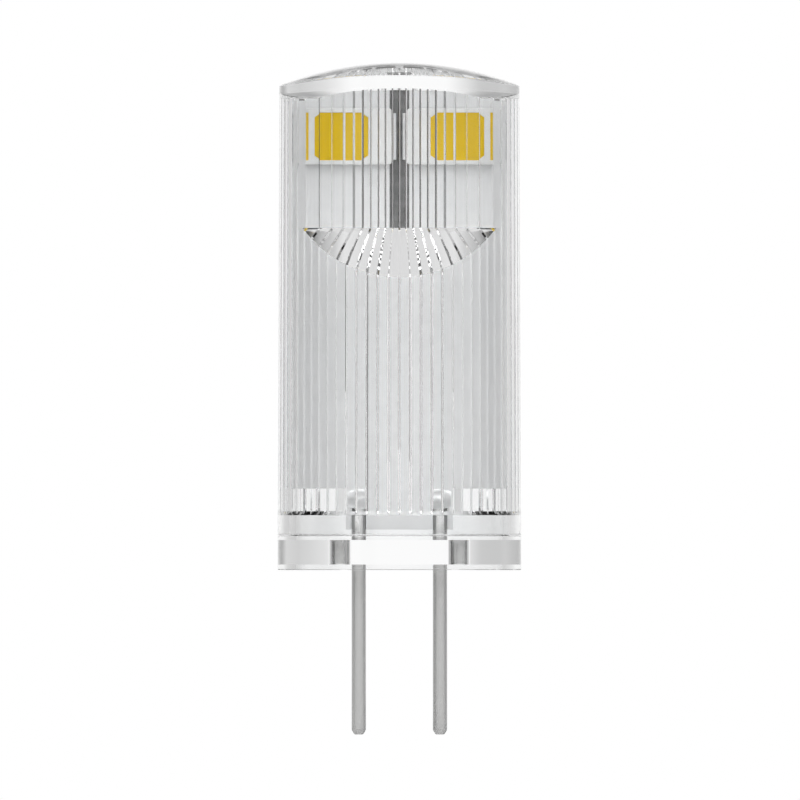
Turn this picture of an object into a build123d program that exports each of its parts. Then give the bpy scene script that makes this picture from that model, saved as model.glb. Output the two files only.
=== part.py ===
from build123d import *
from math import cos, radians, sin, sqrt, tan
import os

# Two-pin LED capsule lamp, in millimetres. The origin is the centre of the base's underside, the
# face that meets the lamp holder. +Z runs up through the dome, the pins point down, and the
# board's front face looks along -Y.

# Driving dimensions: contact pins
pin_spacing = 4.0
pin_diameter = 0.7
pin_reach = 8.1
pin_top = 3.7
pin_tip_length = 0.22
pin_tip_diameter = 0.42
pin_grip_diameter = 0.72

# Driving dimensions: clear base
body_diameter = 12.0
foot_recess_depth = 0.27
base_floor_thickness = 1.21
base_flange_height = 1.7
base_edge_chamfer = 0.05
spigot_height = 1.04
spigot_wall = 0.3
spigot_clearance = 0.03
pin_hole_clearance = 0.01

# Driving dimensions: clear cover
cover_draft_angle = 0.2
cover_top = 25.0
dome_radius = 16.0
dome_cross_radius = 30.0
ceiling_middle = 23.73
ceiling_side = 23.21
ceiling_arch_width = 7.28
seam_gap = 0.04
mouth_wall = 0.58
groove_wall = 0.6
groove_depth = 0.1
groove_share = 0.25
reed_count = 64
shoulder_top = 16.85
shoulder_foot = 14.43
slab_half_width = 2.82

# Driving dimensions: circuit board
board_thickness = 0.8
board_side_clearance = 0.06
board_top_clearance = 0.1
board_shoulder = 4.0
tongue_width = 5.26
tongue_foot = 1.98
pin_slot_clearance = 0.03
core_groove_width = 0.6
core_groove_depth = 0.12
core_groove_foot = 15.6

# Driving dimensions: light-emitting packages
led_spacing = 4.0
led_centre = 21.35
led_width = 3.5
led_height = 2.8
led_thickness = 0.7
led_corner = 0.15
cup_width = 1.9
cup_height = 2.36
cup_corner = 0.35
cup_depth = 0.3
cup_taper = 12.0
phosphor_sink = 0.02
pad_thickness = 0.05
pad_width = 0.8
pad_height = 2.3
pad_outreach = 0.15

# Driving dimensions: parts on the far face of the board
rectifier_width = 4.0
rectifier_height = 4.7
rectifier_thickness = 1.5
rectifier_centre = 7.5
rectifier_lead_pitch = 2.5
rectifier_lead_width = 0.6
chip_width = 3.9
chip_height = 4.9
chip_thickness = 1.4
chip_centre = 16.1
chip_lead_pitch = 1.27
chip_lead_width = 0.4
lead_reach = 0.85
lead_thickness = 0.2
lead_foot_length = 0.45
body_standoff = 0.1
body_draft_angle = 7.0
capacitor_width = 1.6
capacitor_height = 3.2
capacitor_thickness = 1.1
resistor_width = 0.85
resistor_height = 1.6
resistor_thickness = 0.45
resistor_offset = 3.9
end_cap_length = 0.35
end_cap_step = 0.04

# Driving dimensions: solder joints
solder_half_width = 0.62
solder_half_height = 0.5
solder_bulge = 0.3
solder_corner = 0.3
solder_taper = 35.0

# Worked out from the driving dimensions
body_radius = body_diameter / 2
pin_radius = pin_diameter / 2
grip_radius = pin_grip_diameter / 2
hole_radius = grip_radius + pin_hole_clearance
floor_top = foot_recess_depth + base_floor_thickness
mouth_radius = body_radius - mouth_wall
spigot_radius = mouth_radius - spigot_clearance
recess_radius = spigot_radius - spigot_wall
cover_foot = base_flange_height + seam_gap
reed_foot = base_flange_height + spigot_height + spigot_clearance
groove_radius = body_radius - groove_wall
reed_radius = groove_radius - groove_depth
dome_centre = cover_top - dome_radius
draft_slope = tan(radians(cover_draft_angle))
board_half = board_thickness / 2
board_half_width = sqrt(reed_radius**2 - board_half**2) - board_side_clearance
slot_radius = grip_radius + pin_slot_clearance
slot_top = pin_top + pin_slot_clearance
solder_centre = slot_top - solder_half_height / 2
capacitor_centre = (rectifier_centre + chip_centre + (rectifier_height - chip_height) / 2) / 2
pin_places = ((-pin_spacing / 2, "left"), (pin_spacing / 2, "right"))

# The two faces of the board, each seen from outside with its own x to the right
front_face = Plane(origin=(0, -board_half, 0), x_dir=(1, 0, 0), z_dir=(0, -1, 0))
back_face = Plane(origin=(0, board_half, 0), x_dir=(-1, 0, 0), z_dir=(0, 1, 0))


def finish(builder, name):
    """Labels a finished piece and writes it."""
    builder.part.label = name
    export_step(builder.part, f"parts/{name}.step")


def slab_distance(angle):
    """Distance from the axis to the flat walls in front and behind, in the direction of the angle
    from the front, or to a far circle where the walls lie beside it."""
    far = body_diameter
    return min(far, slab_half_width / max(abs(cos(angle)), slab_half_width / far))


def reeded_outline(reach):
    """Corners of a reeded wall: flat reeds with a narrow V groove between each two, all the way
    round. The rule reach(angle) gives the reeds' distance, and a groove's bottom lies deeper in
    the same measure."""
    pitch = 360 / reed_count
    half_groove = groove_share / 2
    deeper = groove_radius / reed_radius
    corners = []
    for number in range(reed_count):
        for part, scale in ((-half_groove, 1.0), (0, deeper), (half_groove, 1.0)):
            angle = radians((number + part) * pitch)
            distance = reach(angle) * scale
            corners.append((distance * sin(angle), -distance * cos(angle)))
    return corners


def arched_top(half_width, side, middle):
    """Lines of a level top with a shallow arch in its middle, from left to right."""
    half_arch = ceiling_arch_width / 2
    left = Line((-half_width, side), (-half_arch, side))
    arch = ThreePointArc(left @ 1, (0, middle), (half_arch, side))
    return Line(arch @ 1, (half_width, side))


def make_cover_body():
    """Outside of the cover: a slightly drafted cylinder under a shallow dome, which is curved
    twice as much from left to right as from front to back."""
    wall_height = cover_top - cover_foot
    half_angle = radians(45)
    reach = dome_radius * sin(half_angle)
    shoulder = dome_centre + dome_radius * cos(half_angle)
    with BuildPart() as body:
        with BuildSketch(Plane.XY.offset(cover_foot)):
            Circle(body_radius)
        extrude(amount=wall_height, taper=cover_draft_angle)
        with BuildSketch(Plane.XZ) as section:
            with BuildLine():
                dome = ThreePointArc((-reach, shoulder), (0, cover_top), (reach, shoulder))
                Polyline(dome @ 1, (reach, cover_foot), (-reach, cover_foot), dome @ 0)
            make_face()
        roll_axis = Axis((0, 0, cover_top - dome_cross_radius), (1, 0, 0))
        revolve(section.sketch, axis=roll_axis, mode=Mode.INTERSECT)
    return body.part


def make_bore_core():
    """Room of the reeded bore, under a level ceiling with an arch in its middle."""
    with BuildPart() as core:
        with BuildSketch(Plane.XY.offset(reed_foot)):
            with BuildLine():
                Polyline(*reeded_outline(lambda angle: reed_radius), close=True)
            make_face()
        extrude(amount=cover_top - reed_foot)
        with BuildSketch(Plane.XZ):
            with BuildLine():
                last = arched_top(body_radius, ceiling_side, ceiling_middle)
                Polyline(
                    last @ 1,
                    (body_radius, cover_foot),
                    (-body_radius, cover_foot),
                    (-body_radius, ceiling_side),
                )
            make_face()
        extrude(amount=body_radius, both=True, mode=Mode.INTERSECT)
    return core.part


def make_slab_core():
    """Room between the flat reeded walls, spreading down the slanted shoulder to the bore."""
    corners = reeded_outline(slab_distance)
    spread = reed_radius / slab_half_width
    wide_corners = [(x * spread, y * spread) for x, y in corners]
    with BuildPart() as core:
        with BuildSketch(Plane.XY.offset(shoulder_foot)):
            with BuildLine():
                Polyline(*wide_corners, close=True)
            make_face()
        with BuildSketch(Plane.XY.offset(shoulder_top)):
            with BuildLine():
                Polyline(*corners, close=True)
            make_face()
        loft(ruled=True)
        with BuildSketch(Plane.XY.offset(shoulder_top)):
            with BuildLine():
                Polyline(*corners, close=True)
            make_face()
        extrude(amount=cover_top - shoulder_top)
        with BuildSketch(Plane.XY.offset(cover_foot)):
            Circle(body_diameter)
        extrude(amount=shoulder_foot - cover_foot)
    return core.part


def make_cover():
    """Clear cover: one moulding, smooth outside, reeded inside."""
    body = make_cover_body()
    bore_core = make_bore_core()
    slab_core = make_slab_core()
    with BuildPart() as room:
        add(bore_core)
        add(slab_core, mode=Mode.INTERSECT)
    with BuildPart() as cover:
        add(body)
        add(room.part, mode=Mode.SUBTRACT)
        with BuildSketch(Plane.XY.offset(cover_foot)):
            Circle(mouth_radius)
        extrude(amount=reed_foot - cover_foot, mode=Mode.SUBTRACT)
    return cover


def make_base():
    """Clear base: a flange under the cover, a spigot inside it and a floor that holds the pins."""
    spigot_top = base_flange_height + spigot_height
    with BuildPart() as base:
        with BuildSketch(Plane.XZ):
            with BuildLine():
                Polyline(
                    (0, foot_recess_depth),
                    (recess_radius, foot_recess_depth),
                    (recess_radius, 0),
                    (body_radius - base_edge_chamfer, 0),
                    (body_radius, base_edge_chamfer),
                    (body_radius, base_flange_height),
                    (spigot_radius, base_flange_height),
                    (spigot_radius, spigot_top),
                    (recess_radius, spigot_top),
                    (recess_radius, floor_top),
                    (0, floor_top),
                    close=True,
                )
            make_face()
        revolve(axis=Axis.Z)
        with Locations(*[(x, 0, floor_top) for x, _ in pin_places]):
            Hole(hole_radius, depth=base_floor_thickness)
    return base


def make_pin(x):
    """Contact pin: a straight wire, a hair thicker from the base's floor upward, with a short
    blunt taper at its lower end."""
    taper_top = Plane.XY.offset(pin_tip_length - pin_reach)
    with BuildPart() as pin:
        with BuildSketch(taper_top):
            with Locations((x, 0)):
                Circle(pin_radius)
        extrude(amount=pin_reach - pin_tip_length + foot_recess_depth)
        with BuildSketch(Plane.XY.offset(foot_recess_depth)):
            with Locations((x, 0)):
                Circle(grip_radius)
        extrude(amount=pin_top - foot_recess_depth)
        with BuildSketch(Plane.XY.offset(-pin_reach)):
            with Locations((x, 0)):
                Circle(pin_tip_diameter / 2)
        with BuildSketch(taper_top):
            with Locations((x, 0)):
                Circle(pin_radius)
        loft()
    return pin


def make_board():
    """Circuit board: full width of the bore, arched under the ceiling, with a narrow tongue that
    is slotted from below for the two pins, and a bare strip between the light sources."""
    top_side = ceiling_side - board_top_clearance
    top_middle = ceiling_middle - board_top_clearance
    tongue_half = tongue_width / 2
    with BuildPart() as board:
        with BuildSketch(Plane.XZ.offset(-board_half)):
            with BuildLine():
                last = arched_top(board_half_width, top_side, top_middle)
                Polyline(
                    (-board_half_width, top_side),
                    (-board_half_width, board_shoulder),
                    (-tongue_half, board_shoulder),
                    (-tongue_half, tongue_foot),
                    (tongue_half, tongue_foot),
                    (tongue_half, board_shoulder),
                    (board_half_width, board_shoulder),
                    last @ 1,
                )
            make_face()
            with Locations(*[(x, (tongue_foot + slot_top) / 2) for x, _ in pin_places]):
                Rectangle(2 * slot_radius, slot_top - tongue_foot, mode=Mode.SUBTRACT)
        extrude(amount=board_thickness)
        for face in (front_face, back_face):
            with BuildSketch(face):
                with Locations((0, (core_groove_foot + top_middle) / 2)):
                    Rectangle(core_groove_width, top_middle - core_groove_foot)
            extrude(amount=-core_groove_depth, mode=Mode.SUBTRACT)
    return board


def make_solder(x, board, pin):
    """Solder joint: a tapered mound over the slot's end on both faces, filling the slot there."""
    with BuildPart() as solder:
        with BuildSketch(Plane.XZ):
            with Locations((x, solder_centre)):
                outline = Rectangle(2 * solder_half_width, 2 * solder_half_height)
            chamfer(outline.vertices(), solder_corner)
        extrude(amount=board_half, both=True)
        for face in (front_face, back_face):
            with BuildSketch(face):
                with Locations((x * face.x_dir.X, solder_centre)):
                    outline = Rectangle(2 * solder_half_width, 2 * solder_half_height)
                chamfer(outline.vertices(), solder_corner)
            extrude(amount=solder_bulge, taper=solder_taper)
        add(board, mode=Mode.SUBTRACT)
        add(pin, mode=Mode.SUBTRACT)
    return solder


def make_led(face, x):
    """White housing of one light-emitting package, with its tapered cup."""
    seat = face.offset(pad_thickness)
    with BuildPart() as led:
        with BuildSketch(seat):
            with Locations((x, led_centre)):
                outline = Rectangle(led_width, led_height)
            chamfer(outline.vertices(), led_corner)
        extrude(amount=led_thickness)
        with BuildSketch(seat.offset(led_thickness)):
            with Locations((x, led_centre)):
                cup = Rectangle(cup_width, cup_height)
            chamfer(cup.vertices(), cup_corner)
        extrude(amount=-cup_depth, taper=cup_taper, mode=Mode.SUBTRACT)
    return led


def make_phosphor(face, x):
    """Yellow fill of the cup, a hair below the housing's top."""
    top = face.offset(pad_thickness + led_thickness)
    with BuildPart() as phosphor:
        with BuildSketch(top):
            with Locations((x, led_centre)):
                cup = Rectangle(cup_width, cup_height)
            chamfer(cup.vertices(), cup_corner)
        extrude(amount=-cup_depth, taper=cup_taper)
        with BuildSketch(top):
            with Locations((x, led_centre)):
                Rectangle(led_width, led_height)
        extrude(amount=-phosphor_sink, mode=Mode.SUBTRACT)
    return phosphor


def make_pads(face):
    """Solder pads under both packages of a face, reaching a little past their ends."""
    middle = led_width / 2 + pad_outreach - pad_width / 2
    places = [
        (package * led_spacing / 2 + end * middle, led_centre)
        for package in (-1, 1)
        for end in (-1, 1)
    ]
    with BuildPart() as pads:
        with BuildSketch(face):
            with Locations(*places):
                Rectangle(pad_width, pad_height)
        extrude(amount=pad_thickness)
    return pads


def make_moulded_body(width, height, thickness, centre):
    """Black moulded body of a driver part: two tapered halves, held off the board."""
    middle = back_face.offset(body_standoff + thickness / 2)
    with BuildPart() as body:
        for amount in (thickness / 2, -thickness / 2):
            with BuildSketch(middle):
                with Locations((0, centre)):
                    Rectangle(width, height)
            extrude(amount=amount, taper=body_draft_angle)
    return body


def make_leads(width, thickness, centre, heights, lead_width):
    """Bent leads along both sides of a driver part, from its middle down to the board."""
    level = body_standoff + thickness / 2
    start = width / 2
    bend = start + lead_reach - lead_foot_length
    end = start + lead_reach
    half = lead_thickness / 2
    with BuildPart() as leads:
        for height in heights:
            section = Plane(
                origin=(0, board_half, centre + height - lead_width / 2),
                x_dir=(1, 0, 0),
                z_dir=(0, 0, 1),
            )
            for side in (-1, 1):
                with BuildSketch(section):
                    with BuildLine():
                        Polyline(
                            (side * start, level + half),
                            (side * (bend - half), level + half),
                            (side * (bend + half), lead_thickness),
                            (side * end, lead_thickness),
                            (side * end, 0),
                            (side * (bend - half), 0),
                            (side * (bend - 2 * half), level - half),
                            (side * start, level - half),
                            close=True,
                        )
                    make_face()
                extrude(amount=lead_width)
    return leads


def make_chip_part(x, centre, width, height, thickness):
    """Small ceramic part that lies flat on the board, with a metal cap on each end."""
    with BuildPart() as chip_part:
        with BuildSketch(back_face.offset(end_cap_step)):
            with Locations((x, centre)):
                Rectangle(width, height)
        extrude(amount=thickness)
        cap_middle = (height - end_cap_length) / 2
        with BuildSketch(back_face):
            with Locations((x, centre - cap_middle), (x, centre + cap_middle)):
                Rectangle(width + 2 * end_cap_step, end_cap_length)
        extrude(amount=thickness + 2 * end_cap_step)
    return chip_part


os.makedirs("parts", exist_ok=True)
finish(make_cover(), "cover")
finish(make_base(), "base")
board = make_board()
finish(board, "circuit_board")

for pin_x, side_name in pin_places:
    pin = make_pin(pin_x)
    finish(pin, f"contact_pin_{side_name}")
    finish(make_solder(pin_x, board.part, pin.part), f"solder_{side_name}")

for face, face_name in ((front_face, "front"), (back_face, "back")):
    finish(make_pads(face), f"led_pads_{face_name}")
    for led_x, side_name in ((-led_spacing / 2, "left"), (led_spacing / 2, "right")):
        finish(make_led(face, led_x), f"led_{face_name}_{side_name}")
        finish(make_phosphor(face, led_x), f"phosphor_{face_name}_{side_name}")

finish(
    make_moulded_body(rectifier_width, rectifier_height, rectifier_thickness, rectifier_centre),
    "bridge_rectifier",
)
finish(
    make_leads(
        rectifier_width,
        rectifier_thickness,
        rectifier_centre,
        (-rectifier_lead_pitch / 2, rectifier_lead_pitch / 2),
        rectifier_lead_width,
    ),
    "rectifier_leads",
)
finish(make_moulded_body(chip_width, chip_height, chip_thickness, chip_centre), "driver_chip")
finish(
    make_leads(
        chip_width,
        chip_thickness,
        chip_centre,
        [step * chip_lead_pitch for step in (-1.5, -0.5, 0.5, 1.5)],
        chip_lead_width,
    ),
    "driver_leads",
)
finish(
    make_chip_part(
        0,
        capacitor_centre,
        capacitor_width,
        capacitor_height,
        capacitor_thickness,
    ),
    "filter_capacitor",
)
for name, centre in (("sense_resistor", chip_centre), ("damping_resistor", rectifier_centre)):
    finish(
        make_chip_part(
            resistor_offset, centre, resistor_width, resistor_height, resistor_thickness
        ),
        name,
    )
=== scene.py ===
# %% [markdown]
# # A two-pin capsule lamp in clear plastic
# This lesson dresses a small 12 volt lamp: a clear capsule whose inside is covered with fine
# reeds, a white circuit board standing in it, four little light sources, a clear plug for a
# base, and two straight wire pins. Almost everything the eye sees is bent by the clear
# plastic, so the lesson spends most of its care on the shape of that wall. The model that was
# drawn first, in a CAD program, gives every size and place. It is loaded as a fixed frame, and
# each finer piece made here stands for one piece of it.

import math

import bmesh
import bpy
import numpy as np
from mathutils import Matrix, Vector
from mathutils.geometry import tessellate_polygon


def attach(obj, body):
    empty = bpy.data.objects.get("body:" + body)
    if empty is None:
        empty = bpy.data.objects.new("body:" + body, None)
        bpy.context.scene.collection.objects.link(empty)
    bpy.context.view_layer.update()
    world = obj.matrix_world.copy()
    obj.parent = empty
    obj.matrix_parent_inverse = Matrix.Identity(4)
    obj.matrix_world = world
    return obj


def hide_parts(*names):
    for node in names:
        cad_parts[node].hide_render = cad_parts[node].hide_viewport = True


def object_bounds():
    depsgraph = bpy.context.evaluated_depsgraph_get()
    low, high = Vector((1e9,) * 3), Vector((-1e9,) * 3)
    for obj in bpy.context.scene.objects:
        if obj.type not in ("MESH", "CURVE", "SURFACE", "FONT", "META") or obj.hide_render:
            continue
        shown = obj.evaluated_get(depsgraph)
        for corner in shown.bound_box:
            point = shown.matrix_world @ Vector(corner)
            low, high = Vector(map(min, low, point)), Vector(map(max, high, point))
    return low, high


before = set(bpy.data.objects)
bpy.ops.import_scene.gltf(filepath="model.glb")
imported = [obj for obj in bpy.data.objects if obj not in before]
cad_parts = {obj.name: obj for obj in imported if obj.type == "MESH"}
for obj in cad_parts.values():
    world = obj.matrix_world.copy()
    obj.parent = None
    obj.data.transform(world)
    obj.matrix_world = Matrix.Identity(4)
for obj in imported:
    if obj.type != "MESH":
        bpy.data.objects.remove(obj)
cad_low, cad_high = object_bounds()
MM = 0.001
scene = bpy.context.scene
print("CAD nodes:", len(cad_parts))

# %% [markdown]
# The picture to match was taken level and from very far away: the lamp's edges stay parallel
# and no face looks larger for being nearer. Two kinds of camera do that, a long lens at a great
# distance and an orthographic one. The second is exact and simple, so it is used here. Its
# scale says how many millimetres the picture spans, and its height puts the lamp's seat on the
# right row of the picture.

# %% Camera at the picture's angle
PICTURE = 800
PIXELS_PER_MM = 20.3
AXIS_COLUMN = 399.4
SEAT_ROW = 570.0
CAMERA_DISTANCE = 200.0

camera_data = bpy.data.cameras.new("picture_camera")
camera_data.type = "ORTHO"
camera_data.ortho_scale = PICTURE / PIXELS_PER_MM * MM
camera_data.clip_start = 1 * MM
camera_data.clip_end = 2000 * MM
camera = bpy.data.objects.new("picture_camera", camera_data)
camera.location = (
    (PICTURE / 2 - AXIS_COLUMN) / PIXELS_PER_MM * MM,
    -CAMERA_DISTANCE * MM,
    (SEAT_ROW - PICTURE / 2) / PIXELS_PER_MM * MM,
)
camera.rotation_euler = (math.radians(90), 0, 0)
scene.collection.objects.link(camera)
scene.camera = camera
print("the picture spans", round(PICTURE / PIXELS_PER_MM, 2), "mm")

# %% [markdown]
# Every new piece here is a surface worked out with numpy: a function of two numbers, one that
# runs round the piece and one that runs along it. The function gives a whole grid of points at
# once. Joining each point to its neighbours makes the faces, the last column joins the first,
# and a single point closes each end, so the result is watertight. Edges sharper than a chosen
# angle stay crisp, and all others are shaded smooth.

# %% Helpers that turn grids of points into pieces
CRISP_ANGLE = 28.0
WELD_DISTANCE = 1e-7


def closed_grid(points, first_pole=None, last_pole=None):
    """Vertices and faces of a grid of shape (rows, columns, 3). The last column joins the first.
    A pole is one point that closes the first or the last row with triangles."""
    rows, columns = points.shape[:2]
    vertices = points.reshape(-1, 3)
    row, column = np.meshgrid(np.arange(rows - 1), np.arange(columns), indexing="ij")
    after = (column + 1) % columns
    quads = np.stack(
        [row * columns + column, row * columns + after,
         (row + 1) * columns + after, (row + 1) * columns + column], axis=-1
    ).reshape(-1, 4)
    faces = quads.tolist()
    here = np.arange(columns)
    beside = (here + 1) % columns
    for pole, offset in ((first_pole, 0), (last_pole, (rows - 1) * columns)):
        if pole is None:
            continue
        tip = np.full(columns, len(vertices))
        vertices = np.vstack([vertices, [pole]])
        faces += np.stack([offset + here, offset + beside, tip], axis=-1).tolist()
    return vertices, faces


def make_mesh(name, parts, crisp=CRISP_ANGLE):
    """One mesh from a list of (vertices, faces) in millimetres, welded, with its faces turned
    outwards and its edges crisp above the given angle in degrees."""
    vertices, faces, offset = [], [], 0
    for part_vertices, part_faces in parts:
        vertices.append(part_vertices)
        faces += [[offset + index for index in face] for face in part_faces]
        offset += len(part_vertices)
    mesh = bpy.data.meshes.new(name)
    mesh.from_pydata((np.vstack(vertices) * MM).tolist(), [], faces)
    work = bmesh.new()
    work.from_mesh(mesh)
    bmesh.ops.remove_doubles(work, verts=work.verts, dist=WELD_DISTANCE)
    bmesh.ops.dissolve_degenerate(work, edges=work.edges, dist=WELD_DISTANCE)
    bmesh.ops.recalc_face_normals(work, faces=work.faces)
    work.to_mesh(mesh)
    work.free()
    mesh.polygons.foreach_set("use_smooth", np.ones(len(mesh.polygons), dtype=bool))
    mesh.set_sharp_from_angle(angle=math.radians(crisp))
    return mesh


def make_piece(name, parts, material, nodes, crisp=CRISP_ANGLE):
    """A finished piece that rides on the lamp's one body and stands for the CAD nodes."""
    piece = bpy.data.objects.new(name, make_mesh(name, parts, crisp))
    scene.collection.objects.link(piece)
    piece.data.materials.append(material)
    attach(piece, "root")
    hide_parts(*nodes)
    print(name, len(piece.data.polygons), "faces")
    return piece

# %% [markdown]
# Light is half of a clear object, and a world made of nodes can give it without any lamp. It
# reads the direction of each ray. Upright walls bend a level ray but never tilt it, so all
# that shows in them is a ring of panels at the lamp's own height: white behind, grey in front,
# and dark ones at the left and the right, which draw the thin dark lines of the reeds. The
# light that falls on the board comes from higher up, from the front. The back of the sky is
# seen only in the slanted shoulder and in the dome, and has its own levels by height: grey, a
# dark belt, and a pale zenith. The camera itself sees plain white behind the lamp. A panel below
# is an angle in degrees, nought behind the lamp and -90 at its left, with its level. The levels
# of the back go by the upward part of the ray's direction.

# %% Studio light as a ring of panels under a bright front and a banded back
PANELS = (
    (-180, 0.62), (-160, 0.62), (-154, 0.3), (-146, 0.3), (-140, 0.6), (-126, 0.55),
    (-118, 0.04), (-84, 0.04), (-78, 0.25), (-70, 0.4), (-62, 0.5), (-50, 0.6),
    (-30, 0.62), (-16, 1.0), (16, 1.0), (28, 0.78), (45, 0.64), (60, 0.7), (70, 0.3),
    (84, 0.12), (93, 0.12), (100, 0.5), (140, 0.55), (165, 0.62), (180, 0.62),
)
BACK_LEVELS = (
    (0.0, 0.42), (0.42, 0.4), (0.55, 0.08), (0.84, 0.08), (0.9, 0.5), (0.935, 0.62),
    (0.955, 0.8), (1.0, 0.7),
)
FRONT_LEVEL = 2.6
FRONT_SPAN = (-0.3, -0.5)
RING_TOP = (0.1, 0.2)
LIGHT_BOUNCES = 24
MIRROR_BOUNCES = 16


def node(tree, kind, **settings):
    """A node of the given kind. Settings named input_N set the socket with that index."""
    made = tree.nodes.new(kind)
    for key, value in settings.items():
        if key.startswith("input_"):
            made.inputs[int(key[len("input_"):])].default_value = value
        else:
            setattr(made, key, value)
    return made


def ramp_of(tree, levels):
    """A colour ramp with grey elements from (position, level) pairs."""
    ramp = node(tree, "ShaderNodeValToRGB")
    elements = ramp.color_ramp.elements
    elements.remove(elements[-1])
    for number, (position, level) in enumerate(levels):
        element = elements[0] if number == 0 else elements.new(position)
        element.position = position
        element.color = (level, level, level, 1)
    return ramp


def make_studio():
    """World whose light depends on the direction, white straight to the camera."""
    world = bpy.data.worlds.new("studio")
    world.use_nodes = True
    tree = world.node_tree
    tree.nodes.clear()
    direction = node(tree, "ShaderNodeTexCoord")
    split = node(tree, "ShaderNodeSeparateXYZ")
    angle = node(tree, "ShaderNodeMath", operation="ARCTAN2")
    place = node(tree, "ShaderNodeMapRange", input_1=-math.pi, input_2=math.pi)
    panels = ramp_of(tree, [((degrees + 180) / 360, level) for degrees, level in PANELS])
    back = ramp_of(tree, BACK_LEVELS)
    front = node(tree, "ShaderNodeMapRange", input_1=FRONT_SPAN[0], input_2=FRONT_SPAN[1])
    high = node(tree, "ShaderNodeMix", data_type="RGBA")
    high.inputs["B"].default_value = (FRONT_LEVEL, FRONT_LEVEL, FRONT_LEVEL, 1)
    height = node(tree, "ShaderNodeMapRange", input_1=RING_TOP[0], input_2=RING_TOP[1])
    level = node(tree, "ShaderNodeMix", data_type="RGBA")
    studio = node(tree, "ShaderNodeBackground")
    white = node(tree, "ShaderNodeBackground", input_0=(1, 1, 1, 1))
    path = node(tree, "ShaderNodeLightPath")
    choose = node(tree, "ShaderNodeMixShader")
    output = node(tree, "ShaderNodeOutputWorld")
    join = tree.links.new
    join(direction.outputs["Generated"], split.inputs[0])
    join(split.outputs["X"], angle.inputs[0])
    join(split.outputs["Y"], angle.inputs[1])
    join(angle.outputs[0], place.inputs[0])
    join(place.outputs[0], panels.inputs[0])
    join(split.outputs["Z"], back.inputs[0])
    join(split.outputs["Y"], front.inputs[0])
    join(front.outputs[0], high.inputs["Factor"])
    join(back.outputs[0], high.inputs["A"])
    join(split.outputs["Z"], height.inputs[0])
    join(height.outputs[0], level.inputs["Factor"])
    join(panels.outputs[0], level.inputs["A"])
    join(high.outputs["Result"], level.inputs["B"])
    join(level.outputs["Result"], studio.inputs[0])
    join(path.outputs["Is Camera Ray"], choose.inputs[0])
    join(studio.outputs[0], choose.inputs[1])
    join(white.outputs[0], choose.inputs[2])
    join(choose.outputs[0], output.inputs[0])
    return world


scene.world = make_studio()
scene.view_settings.view_transform = "Standard"
scene.cycles.max_bounces = LIGHT_BOUNCES
scene.cycles.transmission_bounces = LIGHT_BOUNCES
scene.cycles.glossy_bounces = MIRROR_BOUNCES
print("studio panels:", len(PANELS))

# %% [markdown]
# The lamp stands on its pins on a plain pale floor. In the level picture the floor is seen exactly
# edge on and vanishes; from any higher angle it catches a soft shadow. It is a wide disc, not
# attached to the lamp's body.

# %% Pale floor
FLOOR_RADIUS = 1500.0
FLOOR_DROP = 0.02
FLOOR_SIDES = 96
FLOOR_COLOUR = (0.86, 0.86, 0.86, 1)
FLOOR_ROUGHNESS = 0.9


def make_floor():
    """A flat disc just under the pins' tips, matt and nearly white."""
    turn = np.arange(FLOOR_SIDES) * 2 * np.pi / FLOOR_SIDES
    level = cad_low.z / MM - FLOOR_DROP
    rim = np.stack([FLOOR_RADIUS * np.cos(turn), FLOOR_RADIUS * np.sin(turn),
                    np.full(FLOOR_SIDES, level)], axis=-1)
    mesh = bpy.data.meshes.new("floor")
    mesh.from_pydata((rim * MM).tolist(), [], [list(range(FLOOR_SIDES))])
    floor = bpy.data.objects.new("floor", mesh)
    scene.collection.objects.link(floor)
    material = bpy.data.materials.new("pale_floor")
    material.use_nodes = True
    shader = material.node_tree.nodes["Principled BSDF"]
    shader.inputs["Base Color"].default_value = FLOOR_COLOUR
    shader.inputs["Roughness"].default_value = FLOOR_ROUGHNESS
    mesh.materials.append(material)
    return floor


make_floor()

# %% [markdown]
# ## Finishes
# Moulded plastic, solder and wire are never perfectly even, so each finish carries a little
# variation. The same effect is wanted in many of them: a soft mottling that shifts a colour
# and a roughness. It is built once, as a group with named inputs and outputs, and each
# material places it with its own values.

# %% A shared mottling group
NOISE_SPAN = (0.3, 0.7)
NOISE_DETAIL = 4


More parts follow.
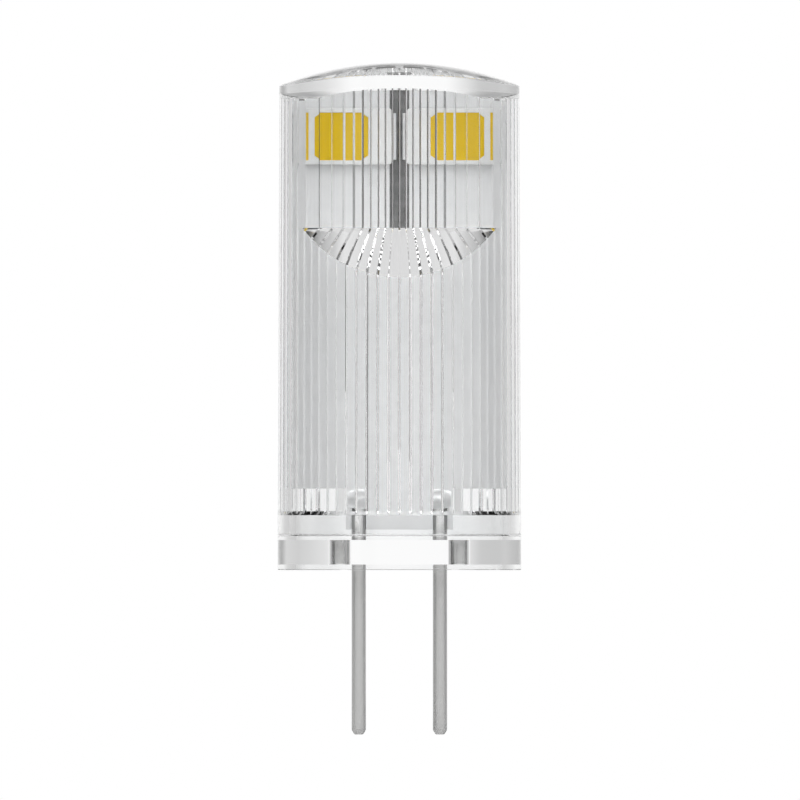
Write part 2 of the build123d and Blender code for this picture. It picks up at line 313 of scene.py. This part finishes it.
def make_mottle():
    """Group: noise at a given scale mixes two colours, two roughness values and gives a height."""
    group = bpy.data.node_groups.new("mottle", "ShaderNodeTree")
    interface = group.interface
    for label, kind, default in (
        ("Colour A", "NodeSocketColor", (0.8, 0.8, 0.8, 1)),
        ("Colour B", "NodeSocketColor", (0.7, 0.7, 0.7, 1)),
        ("Roughness A", "NodeSocketFloat", 0.4),
        ("Roughness B", "NodeSocketFloat", 0.5),
        ("Scale", "NodeSocketFloat", 1000.0),
        ("Stretch", "NodeSocketVector", (1, 1, 1)),
    ):
        socket = interface.new_socket(label, in_out="INPUT", socket_type=kind)
        socket.default_value = default
    for label, kind in (("Colour", "NodeSocketColor"), ("Roughness", "NodeSocketFloat"),
                        ("Height", "NodeSocketFloat")):
        interface.new_socket(label, in_out="OUTPUT", socket_type=kind)
    inlet = node(group, "NodeGroupInput")
    outlet = node(group, "NodeGroupOutput")
    place = node(group, "ShaderNodeTexCoord")
    stretch = node(group, "ShaderNodeVectorMath", operation="MULTIPLY")
    noise = node(group, "ShaderNodeTexNoise")
    noise.inputs["Detail"].default_value = NOISE_DETAIL
    contrast = node(group, "ShaderNodeMapRange", input_1=NOISE_SPAN[0], input_2=NOISE_SPAN[1])
    colour = node(group, "ShaderNodeMix", data_type="RGBA")
    rough = node(group, "ShaderNodeMix", data_type="FLOAT")
    join = group.links.new
    join(place.outputs["Object"], stretch.inputs[0])
    join(inlet.outputs["Stretch"], stretch.inputs[1])
    join(stretch.outputs[0], noise.inputs["Vector"])
    join(inlet.outputs["Scale"], noise.inputs["Scale"])
    join(noise.outputs[0], contrast.inputs[0])
    join(contrast.outputs[0], colour.inputs["Factor"])
    join(contrast.outputs[0], rough.inputs["Factor"])
    join(inlet.outputs["Colour A"], colour.inputs["A"])
    join(inlet.outputs["Colour B"], colour.inputs["B"])
    join(inlet.outputs["Roughness A"], rough.inputs["A"])
    join(inlet.outputs["Roughness B"], rough.inputs["B"])
    join(colour.outputs["Result"], outlet.inputs["Colour"])
    join(rough.outputs["Result"], outlet.inputs["Roughness"])
    join(contrast.outputs[0], outlet.inputs["Height"])
    return group


mottle_group = make_mottle()


def mottled(name, first, second, rough, scale, stretch=(1, 1, 1), bump=0.0, **shader_values):
    """Material: two colours and a span of roughness mixed by the mottling group. Scale is in
    patches per metre, bump is a height in millimetres, other values go to the shader."""
    material = bpy.data.materials.new(name)
    material.use_nodes = True
    tree = material.node_tree
    shader = tree.nodes["Principled BSDF"]
    mottle = node(tree, "ShaderNodeGroup", node_tree=mottle_group)
    for label, value in (("Colour A", (*first, 1)), ("Colour B", (*second, 1)),
                         ("Roughness A", rough[0]), ("Roughness B", rough[1]),
                         ("Scale", scale), ("Stretch", stretch)):
        mottle.inputs[label].default_value = value
    tree.links.new(mottle.outputs["Colour"], shader.inputs["Base Color"])
    tree.links.new(mottle.outputs["Roughness"], shader.inputs["Roughness"])
    for label, value in shader_values.items():
        shader.inputs[label.replace("_", " ")].default_value = value
    if bump:
        relief = node(tree, "ShaderNodeBump")
        relief.inputs["Strength"].default_value = 1.0
        relief.inputs["Distance"].default_value = bump * MM
        tree.links.new(mottle.outputs["Height"], relief.inputs["Height"])
        tree.links.new(relief.outputs["Normal"], shader.inputs["Normal"])
    return material


# %% [markdown]
# The cover and the base are moulded in clear acrylic. A real glass shader bends the light, and
# the whole look of the reeds comes from that, so nothing is faked with transparency. The tint
# is very weak, and the surface is polished.

# %% Clear plastic
PLASTIC_INDEX = 1.5


def make_clear(name):
    """Clear moulding: full transmission, a faint uneven tint, and a polished skin."""
    return mottled(name, (1.0, 1.0, 1.0), (0.985, 0.99, 0.992), (0.0, 0.004), 180.0,
                   IOR=PLASTIC_INDEX, Transmission_Weight=1.0)


clear_cover = make_clear("clear_cover")
clear_base = make_clear("clear_base")

# %% [markdown]
# The pieces inside are plain: white housings, black moulding, tan and black ceramic, and dull
# tinned metal. The yellow gel has next to no gloss, because a bright panel mirrored in it would
# wash its colour out. The pins are a darker metal with a noise stretched along the wire.

# %% Finishes of the pieces inside and of the pins
bright_wire = mottled("bright_wire", (0.62, 0.62, 0.61), (0.54, 0.54, 0.54), (0.2, 0.3), 2600.0,
                      stretch=(1, 1, 0.04), bump=0.002, Metallic=1.0)
tin_solder = mottled("tin_solder", (0.86, 0.865, 0.87), (0.78, 0.785, 0.79), (0.4, 0.55), 1800.0,
                     bump=0.004, Metallic=1.0)
tinned_pad = mottled("tinned_pad", (0.82, 0.82, 0.83), (0.72, 0.73, 0.74), (0.25, 0.4), 3000.0,
                     bump=0.004, Metallic=1.0)
tinned_lead = mottled("tinned_lead", (0.78, 0.78, 0.79), (0.68, 0.68, 0.7), (0.28, 0.42), 3500.0,
                      bump=0.003, Metallic=1.0)
white_housing = mottled("white_housing", (0.92, 0.925, 0.92), (0.88, 0.885, 0.88), (0.3, 0.4),
                        2500.0, bump=0.002)
yellow_phosphor = mottled("yellow_phosphor", (0.86, 0.57, 0.001), (0.82, 0.54, 0.001),
                          (0.5, 0.65), 9000.0, bump=0.003, Specular_IOR_Level=0.05)
black_moulding = mottled("black_moulding", (0.035, 0.035, 0.038), (0.02, 0.02, 0.022),
                         (0.5, 0.7), 6000.0, bump=0.008)
tan_ceramic = mottled("tan_ceramic", (0.52, 0.4, 0.27), (0.42, 0.31, 0.2), (0.45, 0.6), 5000.0,
                      bump=0.004)
black_ceramic = mottled("black_ceramic", (0.05, 0.05, 0.06), (0.03, 0.03, 0.035), (0.15, 0.3),
                        4000.0, bump=0.003)

# %% [markdown]
# ## The clear cover
# The real cover is one moulding: smooth outside, and inside a bore whose wall is covered with
# 64 fine reeds, flat bands with a narrow V groove between each two. Higher up, two flat walls
# close in on the light sources, in front and behind, with a slanted shoulder where they leave
# the bore, and the same reeds run over all of it. A boolean of many cutters could make this,
# but it leaves ragged triangles that the bent light would show. One closed grid is cleaner:
# every column of points runs from the top of the dome down the outside, round the foot and up
# the inside to the ceiling, and the reeds are only a rule for how far each column lies from
# the axis. Clear pieces are crisp from 8 degrees on. If a tall wall shared its shading with the
# small rounding at its edge, the rays through it would tilt as if the wall were curved.

# %% Sizes of the cover
BODY_RADIUS = 6.0
DRAFT_ANGLE = 0.2
COVER_TOP = 25.0
COVER_FOOT = 1.74
DOME_RADIUS = 16.0
DOME_CROSS_RADIUS = 30.0
CEILING_MIDDLE = 23.73
CEILING_SIDE = 23.21
CEILING_RADIUS = 13.0
RIM_ROUNDING = 0.05
FOOT_ROUNDING = 0.04
MOUTH_RADIUS = 5.42
MOUTH_TOP = 2.7
REED_COUNT = 64
REED_COLUMNS = 8
REED_RADIUS = 5.3
GROOVE_DEPTH = 0.1
REED_END_SLOPE = 1.5
REED_END_STEP = 0.001
SHOULDER_FOOT = 14.43
SHOULDER_TOP = 16.85
SLAB_HALF_WIDTH = 2.82
DOME_ROWS = 40
RIM_ROWS = 3
RIM_TRIALS = 8
WALL_ROWS = 3
FOOT_ROWS = 4
CEILING_ROWS = 30
CLEAR_CRISP_ANGLE = 8.0
LEAST_COSINE = 1e-6


# %% [markdown]
# The reeds first. Each 64th of a turn has eight columns: one at the bottom of its V groove and
# seven on its flat band. The bore is a circle, and each flat wall lies at its half width
# divided by the cosine of the angle. The nearer of the two is the wall. A band is the straight
# line between its two edges, so its inner columns follow the polar equation of a line through
# two points.

# %% Reeded wall as a function of the angle
def reed_columns():
    """Angles of all columns, from the front. The first of each reed is its groove."""
    turn = np.arange(REED_COUNT * REED_COLUMNS) / (REED_COUNT * REED_COLUMNS)
    return turn * 2 * np.pi


def wall_reach(angles, half_width):
    """Distance from the axis to the reeded wall in the direction of each column."""
    step = angles[1] - angles[0]
    number = np.arange(len(angles))
    groove = number % REED_COLUMNS == 0
    first = (number // REED_COLUMNS * REED_COLUMNS + 1) * step
    last = first + (REED_COLUMNS - 2) * step

    def smooth_reach(angle):
        """The wall without reeds: the nearer one of the bore's circle and the flat walls."""
        towards = np.maximum(np.abs(np.cos(angle)), LEAST_COSINE)
        return np.minimum(REED_RADIUS, half_width / towards)

    near, far = smooth_reach(first), smooth_reach(last)
    band = near * far * np.sin(last - first)
    band /= near * np.sin(angles - first) + far * np.sin(last - angles)
    return np.where(groove, smooth_reach(angles) * (1 + GROOVE_DEPTH / REED_RADIUS), band)


def ring(angles, radius, height):
    """Points of one row: radius and height may each be one number or one per column."""
    radius = np.broadcast_to(radius, angles.shape)
    height = np.broadcast_to(height, angles.shape)
    return np.stack([radius * np.sin(angles), -radius * np.cos(angles), height], axis=-1)


# %% [markdown]
# The dome is no part of a sphere. From left to right it is an arc of 16 mm, and that arc is
# rolled round a lower axis with a radius of 30 mm, so it falls only half as much from front to
# back. The rim between wall and dome therefore rises and falls as it runs round the cover. The
# ceiling inside is level at the sides, with a shallow arch in its middle.

# %% Dome and ceiling as functions of the place
def dome_height(x, y):
    """Height of the dome: the arc's height at x, turned away from the top by y."""
    arc = COVER_TOP - DOME_RADIUS + np.sqrt(DOME_RADIUS**2 - x**2)
    roll = COVER_TOP - DOME_CROSS_RADIUS
    return roll + np.sqrt((arc - roll)**2 - y**2)


def ceiling_height(x):
    """Height of the ceiling: the higher one of the level sides and the arch."""
    arch = CEILING_MIDDLE - CEILING_RADIUS + np.sqrt(CEILING_RADIUS**2 - x**2)
    return np.maximum(CEILING_SIDE, arch)


# %% [markdown]
# Next the whole column, row by row. Where the slanted shoulder meets the bore, the crease is
# higher in columns that lie further to the side. Each column therefore gets a row exactly at
# its own crease, so that the crease is sharp instead of stepping from row to row.

# %% Cover as one closed grid
def outside_rows(angles):
    """Rows from near the dome's top to the foot: dome, rounded rim, drafted wall, foot edge."""
    slope = math.tan(math.radians(DRAFT_ANGLE))
    rim = np.full(angles.shape, BODY_RADIUS)
    for _ in range(RIM_TRIALS):
        rim_height = dome_height(rim * np.sin(angles), rim * np.cos(angles))
        rim = BODY_RADIUS - slope * (rim_height - COVER_FOOT)
    rows = []
    for share in np.linspace(1 / DOME_ROWS, 1, DOME_ROWS):
        reach = (rim - RIM_ROUNDING) * share
        height = dome_height(reach * np.sin(angles), reach * np.cos(angles))
        rows.append(ring(angles, reach, height))
    start, corner = rows[-1], ring(angles, rim, rim_height)
    wall_top = rim_height - RIM_ROUNDING
    end = ring(angles, rim, wall_top)
    for t in np.linspace(0, 1, RIM_ROWS + 1)[1:]:
        rows.append((1 - t)**2 * start + 2 * t * (1 - t) * corner + t**2 * end)
    for share in np.linspace(0, 1, WALL_ROWS + 1)[1:]:
        height = wall_top + share * (COVER_FOOT + FOOT_ROUNDING - wall_top)
        rows.append(ring(angles, BODY_RADIUS - slope * (height - COVER_FOOT), height))
    for tilt in np.linspace(0, math.pi / 2, FOOT_ROWS + 1)[1:]:
        rows.append(ring(angles, BODY_RADIUS - FOOT_ROUNDING * (1 - math.cos(tilt)),
                         COVER_FOOT + FOOT_ROUNDING * (1 - math.sin(tilt))))
    return rows


def inside_rows(angles):
    """Rows from the mouth up to the ceiling's middle: smooth mouth, reeds that start on a slope
    and so have pointed ends, bore, crease, shoulder, flat walls, ceiling."""
    bore = wall_reach(angles, BODY_RADIUS * 2)
    slab = wall_reach(angles, SLAB_HALF_WIDTH)
    spread = REED_RADIUS - SLAB_HALF_WIDTH
    share = (REED_RADIUS - REED_RADIUS * np.abs(np.cos(angles))) / spread
    crease = SHOULDER_FOOT + (SHOULDER_TOP - SHOULDER_FOOT) * np.clip(share, 0, 1)
    rows = [ring(angles, MOUTH_RADIUS, COVER_FOOT), ring(angles, MOUTH_RADIUS, MOUTH_TOP)]
    reed_foot = MOUTH_TOP + REED_END_STEP + (MOUTH_RADIUS - bore) * REED_END_SLOPE
    rows.append(ring(angles, bore, reed_foot))
    rows.append(ring(angles, bore, crease))
    rows.append(ring(angles, slab, SHOULDER_TOP))
    for share in np.linspace(1, 0, CEILING_ROWS + 1)[:-1]:
        reach = slab * share
        rows.append(ring(angles, reach, ceiling_height(reach * np.sin(angles))))
    return rows


def make_cover():
    """The whole cover: outside rows, then inside rows, closed by a pole at each end."""
    angles = reed_columns()
    points = np.array(outside_rows(angles) + inside_rows(angles))
    grid = closed_grid(points, (0, 0, COVER_TOP), (0, 0, CEILING_MIDDLE))
    return make_piece("cover_moulding", [grid], clear_cover, ["cover"],
                      CLEAR_CRISP_ANGLE)


make_cover()

# %% [markdown]
# ## The clear base
# The base is a short plug: a flange that carries on the cover's outline, a spigot that stands
# inside the cover, a floor that grips the pins, and a shallow recess underneath. It is turned
# from one profile, and the floor's two faces are flat sheets with a hole for each pin.

# %% Base
FOOT_RECESS = 0.27
FLOOR_TOP = 1.48
FLANGE_TOP = 1.7
SPIGOT_TOP = 2.74
SPIGOT_RADIUS = 5.39
RECESS_RADIUS = 5.09
EDGE_ROUNDING = 0.05
PIN_SPACING = 4.0
HOLE_RADIUS = 0.37
BASE_COLUMNS = 384
HOLE_COLUMNS = 48


def rounded(profile, radius, steps=4):
    """A profile of (radius, height) corners with each inner corner cut to a small arc: points
    on a quadratic curve between the two cut points, with the corner as its middle."""
    profile = np.array(profile, dtype=float)
    result = [profile[0]]
    for before, corner, after in zip(profile, profile[1:], profile[2:]):
        inward = before - corner
        outward = after - corner
        start = corner + inward / np.linalg.norm(inward) * radius
        end = corner + outward / np.linalg.norm(outward) * radius
        for t in np.linspace(0, 1, steps):
            result.append((1 - t)**2 * start + 2 * t * (1 - t) * corner + t**2 * end)
    result.append(profile[-1])
    return np.array(result)


def turned(profile, columns, centre_x=0.0):
    """Points of a profile turned round a vertical line: each (radius, height) makes a row."""
    angles = np.arange(columns) * 2 * np.pi / columns
    points = np.stack([ring(angles, radius, height) for radius, height in profile])
    points[..., 0] += centre_x
    return points


def sheet_with_holes(height):
    """A flat round sheet with both pin holes, cut into triangles."""
    loops = [turned([(RECESS_RADIUS, height)], BASE_COLUMNS)[0]]
    for side in (-1, 1):
        loops.append(turned([(HOLE_RADIUS, height)], HOLE_COLUMNS, side * PIN_SPACING / 2)[0])
    triangles = tessellate_polygon([[Vector(point) for point in loop] for loop in loops])
    return np.vstack(loops), [list(triangle) for triangle in triangles]


def make_base():
    """The base: one turned profile from the recess's roof round the outside to the floor's
    top, two sheets with holes, and the holes' walls."""
    outline = rounded(
        [(RECESS_RADIUS, FOOT_RECESS), (RECESS_RADIUS, 0), (BODY_RADIUS, 0),
         (BODY_RADIUS, FLANGE_TOP), (SPIGOT_RADIUS, FLANGE_TOP), (SPIGOT_RADIUS, SPIGOT_TOP),
         (RECESS_RADIUS, SPIGOT_TOP), (RECESS_RADIUS, FLOOR_TOP)],
        EDGE_ROUNDING,
    )
    parts = [closed_grid(turned(outline, BASE_COLUMNS)),
             sheet_with_holes(FOOT_RECESS), sheet_with_holes(FLOOR_TOP)]
    for side in (-1, 1):
        wall = turned([(HOLE_RADIUS, FOOT_RECESS), (HOLE_RADIUS, FLOOR_TOP)], HOLE_COLUMNS,
                      side * PIN_SPACING / 2)
        parts.append(closed_grid(wall))
    return make_piece("base_moulding", parts, clear_base, ["base"],
                      CLEAR_CRISP_ANGLE)


make_base()

# %% [markdown]
# ## The contact pins
# Each pin is a straight tinned wire, cut with a short blunt taper at its lower end. A turned
# profile is all it needs; the drawn look comes from its finish, whose noise is stretched along
# the wire.

# %% Contact pins
PIN_RADIUS = 0.35
PIN_GRIP_RADIUS = 0.36
PIN_REACH = 8.1
PIN_TOP = 3.7
PIN_TIP_RADIUS = 0.21
PIN_TIP_LENGTH = 0.22
PIN_GRIP_SLOPE = 0.05
PIN_ROUNDING = 0.045
PIN_END_RADIUS = 0.02
PIN_COLUMNS = 48
SIDES = ((-1, "left"), (1, "right"))


def make_pin(side, side_name):
    """One wire: tip, taper, shaft, a hair thicker where the base grips it."""
    profile = rounded(
        [(PIN_END_RADIUS, -PIN_REACH), (PIN_TIP_RADIUS, -PIN_REACH),
         (PIN_RADIUS, PIN_TIP_LENGTH - PIN_REACH), (PIN_RADIUS, FOOT_RECESS - PIN_GRIP_SLOPE),
         (PIN_GRIP_RADIUS, FOOT_RECESS + PIN_GRIP_SLOPE), (PIN_GRIP_RADIUS, PIN_TOP),
         (PIN_END_RADIUS, PIN_TOP)],
        PIN_ROUNDING,
    )
    x = side * PIN_SPACING / 2
    grid = closed_grid(turned(profile, PIN_COLUMNS, x), (x, 0, -PIN_REACH), (x, 0, PIN_TOP))
    make_piece(f"pin_wire_{side_name}", [grid], bright_wire,
               [f"contact_pin_{side_name}"])


for side, side_name in SIDES:
    make_pin(side, side_name)

# %% [markdown]
# ## Pieces that lie on the board
# The light sources, the driver parts and the solder all sit flat on one face of the board.
# Each is a stack of rings: closed outlines, one above the other, that grow, shrink and round
# the edges as they rise. A rounded rectangle gives most outlines. Its corners are arcs, or
# straight cuts where the real part has them, always with the same number of points, so that
# any ring can follow any other.

# %% Rings on either face of the board
BOARD_HALF = 0.4
CORNER_POINTS = 7
EDGE_RINGS = 4


def rectangle_ring(width, height, corner, cut=False):
    """Outline of a rectangle with rounded or cut corners, as (across, up) pairs."""
    turn = np.linspace(0, 1, CORNER_POINTS)
    if cut:
        quarter = np.stack([1 - turn, turn], axis=-1)
    else:
        quarter = np.stack([np.cos(turn * np.pi / 2), np.sin(turn * np.pi / 2)], axis=-1)
    inner = np.array([width / 2 - corner, height / 2 - corner])
    corners = []
    for number in range(4):
        angle = number * np.pi / 2
        spin = np.array([[np.cos(angle), np.sin(angle)], [-np.sin(angle), np.cos(angle)]])
        sign = np.sign([np.cos(angle + np.pi / 4), np.sin(angle + np.pi / 4)])
        corners.append(quarter @ spin * corner + sign * inner)
    return np.vstack(corners)


def on_face(outline, depth, centre, back):
    """Points of an outline at a height above the board's front or back face. Seen from
    outside, across runs to the right on both faces."""
    across = outline[:, 0] + centre[0]
    up = outline[:, 1] + centre[1]
    away = np.full(len(outline), BOARD_HALF + depth)
    if back:
        return np.stack([-across, away, up], axis=-1)
    return np.stack([across, -away, up], axis=-1)


def stack(rings, centre, back=False):
    """A closed solid from (outline, depth) pairs, with a pole in the middle of each end."""
    rows = np.array([on_face(outline, depth, centre, back) for outline, depth in rings])
    poles = [on_face(np.zeros((1, 2)), rings[end][1], centre, back)[0] for end in (0, -1)]
    return closed_grid(rows, *poles)


def block_rings(width, height, low, high, corner, edge):
    """Rings of a flat-bottomed block whose upper edge is rounded: they shrink along a quarter
    circle as they rise to the top."""
    rings = [(rectangle_ring(width, height, corner), low)]
    for tilt in np.linspace(0, math.pi / 2, EDGE_RINGS):
        inset = 2 * edge * (1 - math.cos(tilt))
        rings.append((rectangle_ring(width - inset, height - inset, corner),
                      high - edge * (1 - math.sin(tilt))))
    return rings


# %% [markdown]
# A light source of this kind is a white moulded dish filled with yellow phosphor gel. The dish
# has cut inner corners and slightly sloping inner walls, and the gel stands a hair below its
# rim and sinks a little towards the middle, as a liquid does before it sets.

# %% Light sources
LED_SPACING = 4.0
LED_CENTRE = 21.35
LED_WIDTH = 3.5
LED_HEIGHT = 2.8
LED_THICKNESS = 0.7
LED_CORNER = 0.15
LED_EDGE = 0.06
PAD_THICKNESS = 0.05
CUP_WIDTH = 1.9
CUP_HEIGHT = 2.36
CUP_CORNER = 0.24
CUP_DEPTH = 0.3
CUP_TAPER = 12.0
CUP_LIP_WIDTH = 0.03
CUP_LIP_DEPTH = 0.015
GEL_SINK = 0.02
GEL_HOLLOW = 0.03
GEL_GAP = 0.004
GEL_INSET = 0.014
GEL_SHARES = (1.0, 0.9, 0.75, 0.5, 0.25)


def cup_ring(growth):
    """Outline of the dish's cut-cornered opening, wider and higher by the growth."""
    return rectangle_ring(CUP_WIDTH + growth, CUP_HEIGHT + growth, CUP_CORNER, cut=True)


def make_led(side, side_name, back):
    """Dish and gel of one light source."""
    face_name = "back" if back else "front"
    centre = (side * LED_SPACING / 2, LED_CENTRE)
    top = PAD_THICKNESS + LED_THICKNESS
    narrowing = 2 * CUP_DEPTH * math.tan(math.radians(CUP_TAPER))
    rings = block_rings(LED_WIDTH, LED_HEIGHT, PAD_THICKNESS, top, LED_CORNER, LED_EDGE)
    rings.append((cup_ring(CUP_LIP_WIDTH), top))
    rings.append((cup_ring(0), top - CUP_LIP_DEPTH))
    rings.append((cup_ring(-narrowing), top - CUP_DEPTH))
    make_piece(f"dish_{face_name}_{side_name}", [stack(rings, centre, back)], white_housing,
               [f"led_{face_name}_{side_name}"])
    gel = [(cup_ring(-narrowing - GEL_GAP), top - CUP_DEPTH + GEL_GAP)]
    for share in GEL_SHARES:
        sunk = GEL_SINK + GEL_HOLLOW * (1 - share**2)
        gel.append((share * cup_ring(-GEL_INSET), top - sunk))
    make_piece(f"gel_{face_name}_{side_name}", [stack(gel, centre, back)], yellow_phosphor,
               [f"phosphor_{face_name}_{side_name}"])


for back in (False, True):
    for side, side_name in SIDES:
        make_led(side, side_name, back)

# %% [markdown]
# The rest of the board is seen through the reeds from behind: a bridge rectifier and a driver
# chip in black moulding compound, with bent tinned leads, a tan capacitor and two small black
# resistors with bright end caps. The moulded bodies are widest half way up, at the line where
# the two halves of their mould met, and every edge is a little rounded. Each row of the two
# tables names a CAD node and its new piece. A moulded body's row goes on with its width, height,
# thickness and the height of its centre over the seat. A chip part's row goes on with its place
# across the board and the height of its centre, then its width, height, thickness and finish.

# %% Driver parts
BODY_STANDOFF = 0.1
BODY_DRAFT = 7.0
BODY_EDGE = 0.09
BODY_CORNER = 0.12
CERAMIC_EDGE = 0.05
END_CAP_EDGE = 0.07
MOULDED_BODIES = (
    ("bridge_rectifier", "rectifier_body", 4.0, 4.7, 1.5, 7.5),
    ("driver_chip", "chip_body", 3.9, 4.9, 1.4, 16.1),
)
END_CAP_LENGTH = 0.35
END_CAP_STEP = 0.04
CHIP_PARTS = (
    ("filter_capacitor", "capacitor", 0.0, 11.75, 1.6, 3.2, 1.1, tan_ceramic, "tan_ceramic"),
    ("sense_resistor", "resistor_upper", 3.9, 16.1, 0.85, 1.6, 0.45, black_ceramic,
     "black_ceramic"),
    ("damping_resistor", "resistor_lower", 3.9, 7.5, 0.85, 1.6, 0.45, black_ceramic,
     "black_ceramic"),
)


def moulded_body(width, height, thickness, centre_height):
    """Body of two tapered halves: rings narrow by the draft away from the middle line, and the
    outer edges are rounded."""
    narrowing = thickness * math.tan(math.radians(BODY_DRAFT))
    low, high = BODY_STANDOFF, BODY_STANDOFF + thickness
    rings = []
    for start, end in ((low, 1), (high, -1)):
        half = []
        for tilt in np.linspace(0, math.pi / 2, EDGE_RINGS):
            inset = narrowing + 2 * BODY_EDGE * (1 - math.sin(tilt))
            outline = rectangle_ring(width - inset, height - inset, BODY_CORNER)
            half.append((outline, start + end * BODY_EDGE * (1 - math.cos(tilt))))
        rings.append(half)
    middle = (rectangle_ring(width, height, BODY_CORNER), (low + high) / 2)
    return stack(rings[0] + [middle] + rings[1][::-1], (0, centre_height), back=True)


for cad_name, name, width, height, thickness, centre_height in MOULDED_BODIES:
    make_piece(name, [moulded_body(width, height, thickness, centre_height)], black_moulding,
               [cad_name])


def make_chip_part(cad_name, name, x, centre_height, width, height, thickness, finish, slot):
    """Ceramic body with a rounded bright cap on each end."""
    rings = block_rings(width, height, END_CAP_STEP, thickness + END_CAP_STEP, CERAMIC_EDGE,
                        CERAMIC_EDGE)
    body = stack(rings, (x, centre_height), back=True)
    cap_rings = block_rings(width + 2 * END_CAP_STEP, END_CAP_LENGTH, 0.0,
                            thickness + 2 * END_CAP_STEP, END_CAP_EDGE, END_CAP_EDGE)
    caps = []
    for end in (-1, 1):
        middle = centre_height + end * (height - END_CAP_LENGTH) / 2
        caps.append(stack(cap_rings, (x, middle), back=True))
    piece = make_piece(name, [body] + caps, finish, [cad_name])
    piece.data.materials.append(tinned_pad)
    body_faces = len(body[1])
    indices = np.ones(len(piece.data.polygons), dtype=np.int32)
    indices[:body_faces] = 0
    piece.data.polygons.foreach_set("material_index", indices)


for part in CHIP_PARTS:
    make_chip_part(*part)

# %% [markdown]
# Solder wets the board and the wire and sets as a smooth mound with a hollow flank, steep at
# the wire and thin at its rim. The height over the board falls as a cosine from the middle to
# the rim of an oval, raised to a power that hollows the flank.

# %% Solder joints
SOLDER_CENTRE = 3.49
SOLDER_WIDTH = 1.24
SOLDER_HEIGHT = 1.0
SOLDER_BULGE = 0.3
SOLDER_POWER = 1.6
SOLDER_CORNER = 0.499
SOLDER_SINK = 0.02
SOLDER_TIP_SHARE = 0.05
SOLDER_RINGS = 14


def solder_mound(x, back):
    """Oval mound: height is the bulge times the cosine of a quarter turn's share, to a power."""
    outline = rectangle_ring(SOLDER_WIDTH, SOLDER_HEIGHT, SOLDER_CORNER)
    rings = [(outline, -SOLDER_SINK)]
    for share in np.linspace(1, SOLDER_TIP_SHARE, SOLDER_RINGS):
        rise = SOLDER_BULGE * math.cos(share * math.pi / 2)**SOLDER_POWER
        rings.append((outline * share, rise))
    return stack(rings, (-x if back else x, SOLDER_CENTRE), back)


for side, side_name in SIDES:
    x = side * PIN_SPACING / 2
    make_piece(f"solder_mound_{side_name}", [solder_mound(x, False), solder_mound(x, True)],
               tin_solder, [f"solder_{side_name}"])

# %% [markdown]
# ## Finishes of the pieces kept from the CAD model
# The board, the pads and the leads already have their real shape, so they keep it and only get a
# finish. The board is white solder mask. A narrow darker strip between the light sources is
# painted shade: it stands for the shade in a slot there, which is not cut into the board. The
# strip is a mask worked out from the piece's own coordinates, so it stays in place from every
# side.

# %% Board finish with a strip of painted shade
# The strip's grey is painted shade standing for a slot between the light sources, not a colour of
# the board.
SLOT_SHADE_HALF_WIDTH = 0.3
SLOT_SHADE_FOOT = 15.6
SLOT_SHADE_NOISE_SCALE = 2500.0
SLOT_SHADE_GREY = (0.1, 0.2)


def make_board_finish_with_painted_shade():
    """White mask with a faint mottle, and a dark grey strip of painted shade where x and z say so.
    """
    material = mottled("white_board", (0.92, 0.925, 0.93), (0.89, 0.896, 0.902), (0.5, 0.62),
                       1500.0, bump=0.002)
    tree = material.node_tree
    shader = tree.nodes["Principled BSDF"]
    mask_colour = shader.inputs["Base Color"].links[0].from_socket
    place = node(tree, "ShaderNodeTexCoord")
    split = node(tree, "ShaderNodeSeparateXYZ")
    width = node(tree, "ShaderNodeMath", operation="ABSOLUTE")
    narrow = node(tree, "ShaderNodeMath", operation="LESS_THAN", input_1=SLOT_SHADE_HALF_WIDTH * MM)
    high = node(tree, "ShaderNodeMath", operation="GREATER_THAN", input_1=SLOT_SHADE_FOOT * MM)
    inside = node(tree, "ShaderNodeMath", operation="MULTIPLY")
    noise = node(tree, "ShaderNodeTexNoise")
    noise.inputs["Scale"].default_value = SLOT_SHADE_NOISE_SCALE
    # Dark grey of painted shade inside the strip.
    painted_slot_shade = node(tree, "ShaderNodeMapRange", input_1=NOISE_SPAN[0], input_2=NOISE_SPAN[1],
                input_3=SLOT_SHADE_GREY[0], input_4=SLOT_SHADE_GREY[1])
    choose = node(tree, "ShaderNodeMix", data_type="RGBA")
    join = tree.links.new
    join(place.outputs["Object"], split.inputs[0])
    join(split.outputs["X"], width.inputs[0])
    join(width.outputs[0], narrow.inputs[0])
    join(split.outputs["Z"], high.inputs[0])
    join(narrow.outputs[0], inside.inputs[0])
    join(high.outputs[0], inside.inputs[1])
    join(place.outputs["Object"], noise.inputs["Vector"])
    join(noise.outputs[0], painted_slot_shade.inputs[0])
    join(inside.outputs[0], choose.inputs["Factor"])
    join(mask_colour, choose.inputs["A"])
    join(painted_slot_shade.outputs[0], choose.inputs["B"])
    join(choose.outputs["Result"], shader.inputs["Base Color"])
    return material


def dress(cad_name, material):
    """Gives a kept CAD node its finish."""
    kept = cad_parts[cad_name]
    kept.data.materials.clear()
    kept.data.materials.append(material)


dress("circuit_board", make_board_finish_with_painted_shade())
for cad_name in ("led_pads_front", "led_pads_back"):
    dress(cad_name, tinned_pad)
for cad_name in ("rectifier_leads", "driver_leads"):
    dress(cad_name, tinned_lead)
print("kept CAD nodes dressed")
